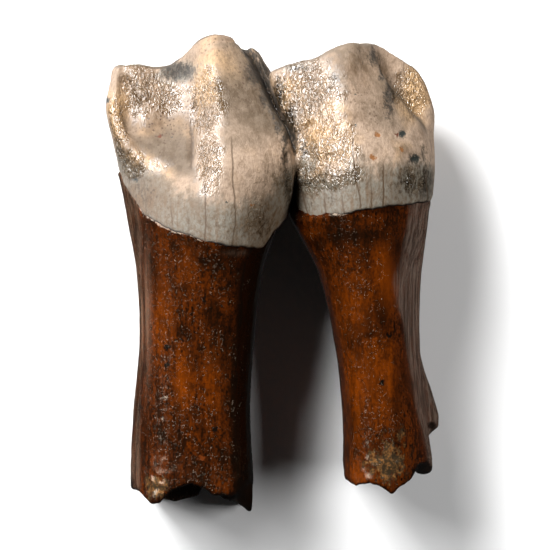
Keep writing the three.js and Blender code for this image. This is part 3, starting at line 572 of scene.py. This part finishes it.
def surface_of(field_over, low, high, cell):
    """Vertices and four-sided faces of the surface where field_over(x, z)(y) is 0, cut flat at z = 0."""
    xs, ys, zs = (np.arange(a - MARGIN, b + MARGIN + cell, cell) for a, b in zip(low, high))
    zs -= zs[np.argmin(np.abs(zs))] + cell / 2  # z = 0 runs half-way between two layers
    x, z = np.meshgrid(xs, zs, indexing="ij")
    field_at = field_over(x, z)
    values = np.stack([np.maximum(field_at(y), -z) for y in ys], axis=1)
    places, quads = [], []
    for axis in range(3):
        field = values.transpose([(axis + n) % 3 for n in range(3)])
        i, j, k = np.nonzero((field[:-1] < 0) != (field[1:] < 0))
        a, b = field[i, j, k], field[i + 1, j, k]
        places.append(np.roll([i + a / (a - b), j, k], axis, axis=0).T)
        around = [np.roll([i, j - dj, k - dk], axis, axis=0) for dj, dk in ((1, 1), (0, 1), (0, 0), (1, 0))]
        quad = np.stack([np.ravel_multi_index(corner, values.shape) for corner in around], axis=1)
        quads.append(np.where((a < 0)[:, None], quad, quad[:, ::-1]))
    used, faces = np.unique(np.vstack(quads), return_inverse=True)
    owners = faces.ravel()
    points = summed(owners, np.repeat(np.vstack(places), 4, axis=0), len(used))
    points /= np.bincount(owners)[:, None]
    return points * cell + (xs[0], ys[0], zs[0]), owners.reshape(-1, 4)


def eased(points, faces, rounds):
    """Points drawn towards their neighbours' middle, then back out, which takes the grid's print off."""
    resting = points[:, 2] < RESTING
    start, end = faces.ravel(), np.roll(faces, -1, axis=1).ravel()
    owners, others = np.append(start, end), np.append(end, start)
    degree = np.bincount(owners)[:, None]
    for pull in (EASE_IN, EASE_OUT) * rounds:
        moved = points + pull * (summed(owners, points[others], len(points)) / degree - points)
        moved[resting, 2] = points[resting, 2]
        points = moved
    return points


def normals_of(points, faces):
    a, b, c, d = (points[faces[:, n]] for n in range(4))
    face_normals = np.cross(c - a, d - b)
    normals = summed(faces.ravel(), np.repeat(face_normals, 4, axis=0), len(points))
    return normals / np.maximum(np.linalg.norm(normals, axis=1), 1e-9)[:, None]


def settled(points, normals, height):
    """The points moved out by height along the normals, with the resting flats kept at z = 0."""
    moved = points + normals * height[:, None]
    moved[:, 2] = np.maximum(moved[:, 2], 0)
    moved[points[:, 2] < RESTING, 2] = 0
    return moved


def in_scene(name, data):
    made = bpy.data.objects.new(name, data)
    bpy.context.scene.collection.objects.link(made)
    return made


def mesh_object(name, points, faces, layers):
    """An object with this mesh, and with a number at each vertex for each of the layers."""
    mesh = bpy.data.meshes.new(name)
    mesh.from_pydata(((points - (*MIDDLE, 0)) * MM).tolist(), [], faces.tolist())
    mesh.shade_smooth()
    for layer, values in layers.items():
        made = mesh.attributes.new(layer, "FLOAT", "POINT")
        made.data.foreach_set("value", np.asarray(values, np.float32))
    return in_scene(name, mesh)


# ---- relief and patches at the vertices ----
def rough(points, scale, octaves):
    """Fractal noise at each point, about -1 to 1. scale is the repeats in a millimetre along x, y and z."""
    return np.array([noise.fractal(place, 0.9, 2.0, octaves) for place in points * scale])


def relief(points, strokes):
    """Height of the strokes at each point. A stroke fades out towards both its ends."""
    height = np.zeros(len(points))
    for most, half_width, path in strokes:
        away, share = path_distance(path, points[:, 0], points[:, 1])
        ends = rise(share, 0, STROKE_FADE) * rise(share, 1, 1 - STROKE_FADE)
        height += most * np.exp(-((away / half_width) ** 2)) * ends
    return height


def patches(points, blots, cheek):
    """Strength of the strongest patch at each point, on the cheek side."""
    strength = np.zeros(len(points))
    for x, y, half_width, half_height, most in blots:
        away = ((points[:, 0] - x) / half_width) ** 2 + ((points[:, 1] - y) / half_height) ** 2
        strength = np.maximum(strength, most * np.exp(-away))
    return strength * cheek


def dents(points, spots):
    """Depth of the small pits at the spots."""
    depth = np.zeros(len(points))
    for x, y, radius in (spot for _, places in spots for spot in places):
        away = np.hypot(points[:, 0] - x, points[:, 1] - y) / (radius * DENT_WIDTH)
        depth = np.maximum(depth, DENT_DEPTH * radius * np.exp(-(away**2)))
    return depth


def crack_layers(points, cheek):
    """Sideways distance to the nearest crack, and that crack's darkness close to it."""
    x, y, _ = points.T
    nearest, darkness = np.full(len(points), 9.0), np.zeros(len(points))
    for dark, path in CRACKS:
        line = sorted((y, x) for x, y in path)
        away = x - height_at(line, y) + waves(CRACK_WOBBLE, y)
        bottom, top = line[0][0], line[-1][0]
        within = rise(y, bottom - 0.6, bottom - 0.1) * rise(y, top, top - CRACK_FADE)
        closer = np.abs(away) < np.abs(nearest)
        nearest = np.where(closer, away, nearest)
        darkness = np.where(closer, dark * within, darkness)
    return nearest, darkness * (np.abs(nearest) < CRACK_REACH) * cheek


def crest_away(points):
    """Distance of each point to the nearer crest's line, seen from the biting side."""
    lines = ([(x, z) for x, _, z in crest] for crest in CRESTS)
    return np.minimum(*(path_distance(line, points[:, 0], points[:, 2])[0] for line in lines))


def cheek_side(points, normals, normal_z=CHEEK_NORMAL_Z):
    return rise(normals[:, 2], *normal_z) * rise(points[:, 2], *CHEEK_Z)


def painted_break_shade(points, normals):
    """Painted shade inside the broken ends, in the tube beside them and in the spur's pit, and on faces
    turned down low on the roots.
    """
    x, y, z = points.T
    inside = rise(y, *INSIDE_Y) * rise(z, *INSIDE_Z)
    downward = rise(normals[:, 1], *DOWN_NORMAL_Y) * rise(y, *DOWN_Y)
    tube = rise(y, *TUBE_Y) * (x > TUBE_FROM_X)
    pit = rise(np.hypot(x - PIT_MIDDLE[0], y - PIT_MIDDLE[1]), *PIT_AWAY)
    return 0.9 * np.maximum.reduce([inside, downward, tube, pit])


# ---- the two pieces ----
def make_crown():
    points, faces = surface_of(crown_field, CROWN_LOW, CROWN_HIGH, CROWN_CELL)
    points = eased(points, faces, CROWN_EASING)
    normals = normals_of(points, faces)
    cheek = cheek_side(points, normals)
    above = points[:, 1] - enamel_edge_height(points[:, 0], points[:, 2])
    wrinkled = patches(points, WRINKLED, cheek)
    biting = rise(normals[:, 1], *BITING_NORMAL_Y) * rise(above, *BITING_ABOVE)
    crest = crest_away(points)
    worn = biting * rise(crest, *WORN_AWAY)
    height = (relief(points, CROWN_RELIEF) - dents(points, CROWN_SPOTS)) * cheek
    height += SWELL_HEIGHT * rough(points, *SWELLS)
    height += (ENAMEL_GRAIN_HEIGHT + WRINKLED_HEIGHT * wrinkled) * rough(points, *ENAMEL_GRAIN)
    height += biting * (BITING_HEIGHT * rough(points, *BITING_LUMPS) - WORN_DEPTH * worn)
    crack_away, crack_dark = crack_layers(points, cheek)
    return mesh_object("enamel_crown", settled(points, normals, height), faces, {
        "above_edge": above,
        "wrinkled": wrinkled,
        "golden": patches(points, GOLDEN, cheek),
        "grey_blue": patches(points, GREY_BLUE, cheek),
        "stain_and_groove_shade": patches(points, DARK_STAIN_AND_SHADE, cheek_side(points, normals, STAIN_AND_SHADE_NORMAL_Z)),
        "brown_tint_and_shade": patches(points, BROWN_TINT_AND_SHADE, cheek),
        "pored": patches(points, PORED, cheek),
        "biting": biting,
        "worn": worn,
        "valley": biting * rise(crest, *VALLEY_AWAY),
        "crack_away": crack_away,
        "crack_dark": crack_dark,
    })


def make_roots():
    points, faces = surface_of(roots_field, ROOTS_LOW, ROOTS_HIGH, ROOT_CELL)
    points = eased(points, faces, ROOT_EASING)
    normals = normals_of(points, faces)
    cheek = cheek_side(points, normals)
    x, y, z = points.T
    low = rise(y, *LOW_Y)
    scabby, granular = patches(points, SCABBY, cheek), patches(points, GRANULAR, cheek)
    grain = ROOT_GRAIN_HEIGHT + LOW_HEIGHT * low + SCAB_HEIGHT * scabby + GRANULE_HEIGHT * granular
    rim = np.exp(-(((enamel_edge_height(x, z) - y - RIM_CRUST_BELOW) / RIM_CRUST_BAND) ** 2))
    height = relief(points, ROOT_RELIEF) * cheek
    height += ROOT_FIBRE_HEIGHT * rough(points, *ROOT_FIBRES)
    height += grain * rough(points, *ROOT_GRAIN)
    height += GRANULE_HEIGHT * granular * rough(points, *GRANULES)
    height += RIM_CRUST_HEIGHT * rim * rough(points, *RIM_CRUST)
    rear_side = rise(x - height_at(REAR_SIDE, y), *REAR_SIDE_BAND) * (x > REAR_FROM_X)
    # the front root's side towards the gap gets painted shade
    gap_side_shade = rise(normals[:, 0], *GAP_NORMAL_X) * (x < FRONT_TO_X)
    return mesh_object("roots", settled(points, normals, height), faces, {
        "orange_tint": patches(points, ORANGE_TINT, cheek),
        "root_shade_and_dark": patches(points, ROOT_SHADE_AND_DARK, cheek),
        "pale_ridge_and_sheen": patches(points, PALE_RIDGES_AND_SHEEN, cheek),
        "scabby": scabby,
        "granular": granular,
        "low": low,
        "front_side": 0.85 * rise(x, *FRONT_SIDE_X),
        "unlit": np.maximum(gap_side_shade, painted_break_shade(points, normals)),
        "side": np.maximum(rear_side, 0.5 * rise(z, *TONGUE_Z)),
    })


# ---- shader helpers ----
class Shader:
    """The nodes of one material. Most calls add nodes and return an output socket."""

    def __init__(self, name, colour):
        self.material = bpy.data.materials.new(name)
        self.material.use_nodes = True
        self.tree = self.material.node_tree
        self.colour = colour
        coordinates = self.node("TexCoord").outputs["Object"]
        self.place = self.vector("MULTIPLY_ADD", coordinates, (1 / MM,) * 3, (*MIDDLE, 0))  # in the drawing

    def node(self, kind, **settings):
        made = self.tree.nodes.new("ShaderNode" + kind)
        for name, value in settings.items():
            setattr(made, name, value)
        return made

    def feed(self, socket, value):
        if isinstance(value, bpy.types.NodeSocket):
            self.tree.links.new(value, socket)
        elif isinstance(value, tuple) and len(socket.default_value) == 4:
            socket.default_value = (*value, 1)
        else:
            socket.default_value = value

    def fed(self, made, *values, **named):
        """The node with the values in its first inputs and in the named ones."""
        for socket, value in zip(made.inputs, values):
            self.feed(socket, value)
        for name, value in named.items():
            self.feed(made.inputs[name.replace("_", " ")], value)
        return made

    def vector(self, operation, *values):
        made = self.fed(self.node("VectorMath", operation=operation), *values)
        return made.outputs["Value" if operation == "DISTANCE" else "Vector"]

    def maths(self, operation, *values):
        return self.fed(self.node("Math", operation=operation), *values).outputs[0]

    def times(self, a, b):
        return self.maths("MULTIPLY", a, b)

    def larger(self, a, b):
        return self.maths("MAXIMUM", a, b)

    def layer(self, name):
        return self.node("Attribute", attribute_name=name).outputs["Fac"]

    def rise(self, value, low, high, least=0.0, most=1.0):
        """least at value = low, most at value = high, and smooth between them."""
        made = self.node("MapRange", interpolation_type="SMOOTHSTEP")
        return self.fed(made, value, low, high, least, most).outputs[0]

    def ragged(self, strength, pattern, amount):
        """strength with its edges broken up by up to amount, as the noise pattern says."""
        return self.maths("ADD", strength, self.rise(pattern, 0.3, 0.7, -amount, amount))

    def stretched(self, made, stretch):
        """The texture node with stretch repeats in a millimetre along x, y and z."""
        return self.fed(made, Vector=self.vector("MULTIPLY", self.place, stretch), Scale=1.0)

    def noise(self, stretch, detail, roughness=0.55, distortion=0.0):
        """Noise, 0 to 1."""
        made = self.stretched(self.node("TexNoise"), stretch)
        return self.fed(made, Detail=detail, Roughness=roughness, Distortion=distortion).outputs["Fac"]

    def cells(self, stretch, feature="F1"):
        """Distance to the nearest of scattered points, in repeats."""
        return self.stretched(self.node("TexVoronoi", feature=feature), stretch).outputs["Distance"]

    def blend(self, share, a, b):
        made = self.node("Mix", data_type="RGBA")
        for socket, value in zip((made.inputs[0], made.inputs[6], made.inputs[7]), (share, a, b)):
            self.feed(socket, value)
        return made.outputs[2]

    def paint(self, colour, share):
        """Lays colour over what is painted already, as strongly as share says."""
        self.colour = self.blend(share, self.colour, colour)

    def paint_spots(self, spots):
        """Lays the small spots over what is painted already, on the cheek side."""
        wobble = self.fed(self.node("TexNoise"), self.place, Scale=2.8)
        shift = self.vector("MULTIPLY_ADD", wobble.outputs["Color"], (1.0, 1.0, 0), (-0.5, -0.5, 0))
        flat = self.vector("MULTIPLY_ADD", self.place, (1, 1, 0), shift)
        height = self.fed(self.node("SeparateXYZ"), self.place).outputs["Z"]
        cheek = self.rise(height, 7, 9)
        for colour, places in spots:
            for x, y, radius in places:
                away = self.vector("DISTANCE", flat, (x, y, 0))
                self.paint(colour, self.times(self.rise(away, radius * 1.5, radius * 0.6), cheek))

    def bumps(self, *layers):
        """A normal from (height, strength, distance in mm) layers, the coarsest first."""
        normal = None
        for height, strength, distance in layers:
            made = self.fed(self.node("Bump"), Height=height, Strength=strength, Distance=distance * MM)
            if normal is not None:
                self.feed(made.inputs["Normal"], normal)
            normal = made.outputs["Normal"]
        return normal

    def finish(self, **values):
        self.fed(self.tree.nodes["Principled BSDF"], Base_Color=self.colour, **values)
        return self.material


# ---- enamel: peach to grey, glossy over fine wrinkles and matt between them ----
PEACH = (0.49, 0.31, 0.16)
BEIGE = (0.35, 0.25, 0.175)
GREY_ENAMEL = (0.178, 0.158, 0.124)
BROWN_ENAMEL = (0.125, 0.072, 0.034)
DARK_ENAMEL = (0.022, 0.015, 0.008)
BITING_BROWN = (0.14, 0.10, 0.065)
CREASE_BROWN = (0.08, 0.048, 0.022)
CRACK_BROWN = (0.07, 0.038, 0.015)
PORE_BROWN = (0.06, 0.026, 0.010)
EDGE_SHADOW_BROWN = (0.015, 0.006, 0.003)
MATT_ENAMEL, GLOSSY_ENAMEL = 0.88, 0.12  # roughness
WRINKLE_DEPTH, FINE_DEPTH, CRACK_DEPTH = 0.17, 0.05, 0.05  # of the bumps, in mm
ENAMEL_IOR = 1.65


def enamel():
    s = Shader("Enamel", BEIGE)
    above = s.layer("above_edge")
    wrinkles = s.rise(s.noise((3.3, 1.6, 3.3), 1.3, 0.5, 1.1), 0.32, 0.68)
    cloud = s.noise((0.3, 0.22, 0.3), 4)
    mottle = s.noise((0.9, 0.6, 0.9), 5, 0.65)
    speckle = s.noise((2.4, 1.8, 2.4), 4, 0.7)
    wrinkled = s.rise(s.ragged(s.layer("wrinkled"), mottle, 0.12), 0.05, 0.95)
    s.paint(PEACH, s.rise(s.ragged(s.layer("golden"), cloud, 0.3), 0.1, 0.9))
    low = s.maths("ADD", s.rise(above, 7.0, 2.0, 0, 0.6), s.layer("grey_blue"))
    low = s.rise(s.ragged(low, mottle, 0.25), 0.15, 0.85)
    s.paint(GREY_ENAMEL, low)
    # brown staining, with painted shade on the first lobe's lower left
    s.paint(BROWN_ENAMEL, s.times(s.layer("brown_tint_and_shade"), s.rise(mottle, 0.3, 0.62, 0.4, 1.0)))
    s.paint(BROWN_ENAMEL, s.rise(mottle, 0.48, 0.7, 0, 0.55))
    s.paint(CREASE_BROWN, s.times(low, s.rise(speckle, 0.46, 0.66, 0, 0.6)))
    s.paint(BROWN_ENAMEL, s.rise(speckle, 0.38, 0.64, 0, 0.4))
    s.paint(BITING_BROWN, s.layer("biting"))
    s.paint(CREASE_BROWN, s.times(s.layer("valley"), s.rise(mottle, 0.35, 0.6, 0.25, 0.95)))
    s.paint(CREASE_BROWN, s.times(s.layer("worn"), 0.85))
    streaks = s.rise(s.noise((1.9, 0.10, 1.9), 3), 0.5, 0.75)
    s.paint(BROWN_ENAMEL, s.times(streaks, s.rise(above, 8, 1, 0.05, 0.7)))
    # painted crease shade: the wrinkles' low lines are painted darker
    s.paint(CREASE_BROWN, s.times(wrinkled, s.rise(wrinkles, 0.48, 0.05, 0, 0.75)))
    # dark stains together with painted groove and crease shade, strongest in the wrinkles' low lines
    stain_and_shade = s.rise(s.ragged(s.layer("stain_and_groove_shade"), speckle, 0.28), 0.3, 1.0)
    s.paint(DARK_ENAMEL, s.times(stain_and_shade, s.rise(wrinkles, 1.0, 0.3, 0.7, 1.0)))
    pores = s.times(s.layer("pored"), s.rise(speckle, 0.38, 0.47))
    pores = s.times(s.rise(s.cells((2.2, 2.2, 2.2)), 0.34, 0.18), pores)
    s.paint(PORE_BROWN, pores)
    crack = s.rise(s.maths("ABSOLUTE", s.layer("crack_away")), 0.15, 0.03)
    crack = s.times(crack, s.layer("crack_dark"))
    s.paint(CRACK_BROWN, crack)
    # painted shadow: a thin dark line along the enamel's lower edge, where it meets the root
    s.paint(EDGE_SHADOW_BROWN, s.rise(above, 0.26, 0.06))
    s.paint_spots(CROWN_SPOTS)
    normal = s.bumps(
        (wrinkles, s.rise(wrinkled, 0, 1, 0.2, 1.0), WRINKLE_DEPTH),
        (s.noise((7, 3, 7), 2), s.rise(wrinkled, 0, 1, 0.25, 0.5), FINE_DEPTH),
        (s.maths("SUBTRACT", 1.0, s.larger(crack, pores)), 0.4, CRACK_DEPTH),
    )
    roughness = s.rise(wrinkled, 0, 0.6, MATT_ENAMEL, GLOSSY_ENAMEL)
    return s.finish(Roughness=roughness, Normal=normal, IOR=ENAMEL_IOR)


# ---- roots: dark red-brown fibres under a glossy skin ----
RED_BROWN = (0.069, 0.0134, 0.0012)
DEEP_BROWN = (0.0045, 0.0020, 0.0009)
ORANGE_BROWN = (0.15, 0.028, 0.0008)
SIDE_GREY_AND_SHEEN = (0.15, 0.105, 0.08)
FRONT_GREY_AND_SHEEN = (0.10, 0.06, 0.038)
PALE_RIDGE_AND_SHEEN = (0.24, 0.15, 0.10)
SCAB_OLIVE = (0.030, 0.020, 0.010)
SCAB_OCHRE = (0.17, 0.075, 0.022)
GLOSSY_ROOT, DRY_ROOT = 0.11, 0.2  # roughness
FIBRE_DEPTH, BEAD_DEPTH, LUMP_DEPTH = 0.3, 0.3, 0.22  # of the bumps, in mm
ROOT_IOR = 1.5
ROOT_GLOSS = 0.36
ROOT_GLOSS_TINT = (1, 0.8, 0.6)


def dentine():
    s = Shader("Root dentine", DEEP_BROWN)
    scabby, low = s.layer("scabby"), s.layer("low")
    side, granular = s.layer("side"), s.layer("granular")
    fibres = s.noise((2.6, 0.1, 2.6), 4, 0.65)
    blotches = s.noise((0.4, 0.2, 0.4), 4, 0.6)
    mottle = s.noise((1.3, 0.8, 1.3), 5, 0.7)
    s.paint(RED_BROWN, s.rise(fibres, 0.32, 0.58, 0.4, 1.0))
    warm = s.maths("ADD", s.rise(blotches, 0.48, 0.68, 0, 0.4), s.layer("orange_tint"))
    s.paint(ORANGE_BROWN, s.times(warm, s.rise(fibres, 0.3, 0.6, 0.4, 1.0)))
    s.paint(DEEP_BROWN, s.rise(mottle, 0.47, 0.62, 0, 0.8))
    s.paint(DEEP_BROWN, s.rise(s.noise((3.4, 2.6, 3.4), 3, 0.6), 0.46, 0.62, 0, 0.6))
    s.paint(DEEP_BROWN, s.rise(blotches, 0.5, 0.36, 0, 0.6))
    specks = s.rise(s.cells((1.6, 1.1, 1.6)), 0.3, 0.16, 0, 0.9)
    s.paint(DEEP_BROWN, s.times(specks, s.rise(s.noise((0.8, 0.5, 0.8), 2), 0.45, 0.55)))
    s.paint(ORANGE_BROWN, s.times(s.layer("orange_tint"), 0.6))
    # the front root's left strip: partly its own grey-brown, partly a painted reflection of the pale floor
    s.paint(FRONT_GREY_AND_SHEEN, s.times(s.layer("front_side"), s.rise(fibres, 0.42, 0.56, 0.1, 1)))
    # painted highlight along the front root's left ridge, with real pale fibres under the enamel's edge
    s.paint(PALE_RIDGE_AND_SHEEN, s.times(s.layer("pale_ridge_and_sheen"), s.rise(fibres, 0.36, 0.56, 0.3, 1)))
    # the side faces: partly their own grey-brown, partly a painted reflection of the pale floor
    s.paint(SIDE_GREY_AND_SHEEN, s.times(side, s.rise(fibres, 0.42, 0.6, 0.3, 0.9)))
    # painted shade: the front root's side towards the gap, under the enamel's edge, in the broken hollows and
    # on faces turned down, with some dark mottling
    s.paint(DEEP_BROWN, s.larger(s.times(s.layer("root_shade_and_dark"), 0.85), s.layer("unlit")))
    scab = s.rise(s.ragged(scabby, mottle, 0.35), 0.35, 0.6)
    crumbs = s.rise(s.noise((2.0, 1.7, 2.0), 6, 0.8), 0.46, 0.6)
    s.paint(s.blend(crumbs, SCAB_OLIVE, SCAB_OCHRE), scab)
    s.paint_spots(ROOT_SPOTS)
    beads = s.maths("SUBTRACT", 1.0, s.cells((1.7, 1.3, 1.7), "SMOOTH_F1"))
    lumps = s.rise(s.noise((4.6, 3.4, 4.6), 2, 0.6), 0.58, 0.8)
    lumpy = s.larger(s.rise(s.noise((0.9, 0.5, 0.9), 3, 0.6), 0.44, 0.6, 0.15, 0.9), granular)
    normal = s.bumps(
        (fibres, s.rise(side, 0, 1, 0.07, 0.7), FIBRE_DEPTH),
        (beads, s.times(s.larger(low, granular), 0.18), BEAD_DEPTH),
        (lumps, lumpy, LUMP_DEPTH),
    )
    roughness = s.rise(s.larger(s.larger(side, scab), low), 0.1, 0.9, GLOSSY_ROOT, DRY_ROOT)
    return s.finish(
        Roughness=roughness, Normal=normal, IOR=ROOT_IOR,
        Specular_IOR_Level=ROOT_GLOSS, Specular_Tint=ROOT_GLOSS_TINT,
    )


# ---- floor, light and camera ----
FLOOR_SIDE = 1.2
PAPER_WHITE = 0.86
PAPER_ROUGHNESS = 0.9
CAMERA_HEIGHT = 0.462
CAMERA_LENS = 254
PICTURE_CENTRE = (0.46 - MIDDLE[0], -0.12 - MIDDLE[1])  # what the camera looks down on, in mm
LIGHT_AWAY = 0.65
# (name, direction, side in metres, watts, seen by matt surfaces, seen in gloss)
LIGHTS = [
    ("key", (-0.47, 0.69, 0.57), 0.28, 9.2, True, True),
    ("top", (-0.53, 0.32, 0.79), 0.16, 1.8, True, True),
    ("fill", (0.70, 0.05, 0.70), 0.22, 2.3, True, False),
    ("card", (-0.90, 0.38, 0.36), 0.42, 10, False, True),
]
WORLD_LIGHT = 0.02


def make_floor():
    half = FLOOR_SIDE / 2
    mesh = bpy.data.meshes.new("floor")
    corners = [(-half, -half, 0), (half, -half, 0), (half, half, 0), (-half, half, 0)]
    mesh.from_pydata(corners, [], [(0, 1, 2, 3)])
    floor = in_scene("floor", mesh)
    material = bpy.data.materials.new("Pale paper")
    material.use_nodes = True
    surface = material.node_tree.nodes["Principled BSDF"]
    surface.inputs["Base Color"].default_value = (PAPER_WHITE, PAPER_WHITE, PAPER_WHITE, 1)
    surface.inputs["Roughness"].default_value = PAPER_ROUGHNESS
    mesh.materials.append(material)
    floor.visible_glossy = False  # the wet sides of the roots show no bright floor in the photo


def make_light(name, direction, side, watts, matt, gloss):
    light = bpy.data.lights.new(name, "AREA")
    light.size = side
    light.energy = watts
    lamp = in_scene(name, light)
    place = Vector(direction).normalized() * LIGHT_AWAY
    lamp.location = place
    lamp.rotation_mode = "QUATERNION"
    lamp.rotation_quaternion = place.to_track_quat("Z", "Y")
    lamp.visible_diffuse = matt
    lamp.visible_glossy = gloss


def make_world():
    world = bpy.data.worlds.new("studio")
    world.use_nodes = True
    background = world.node_tree.nodes["Background"]
    background.inputs["Color"].default_value = (1, 1, 1, 1)
    background.inputs["Strength"].default_value = WORLD_LIGHT
    bpy.context.scene.world = world


def make_camera():
    data = bpy.data.cameras.new("camera")
    data.lens = CAMERA_LENS
    camera = in_scene("camera", data)
    camera.location = (PICTURE_CENTRE[0] * MM, PICTURE_CENTRE[1] * MM, CAMERA_HEIGHT)
    bpy.context.scene.camera = camera


# ---- the scene ----
bpy.context.scene.view_settings.view_transform = "Standard"
bpy.context.scene.cycles.caustics_reflective = False
for piece, material in ((make_crown(), enamel()), (make_roots(), dentine())):
    piece.data.materials.append(material)
    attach(piece, "root")
    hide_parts("tooth")
make_floor()
make_world()
for values in LIGHTS:
    make_light(*values)
make_camera()
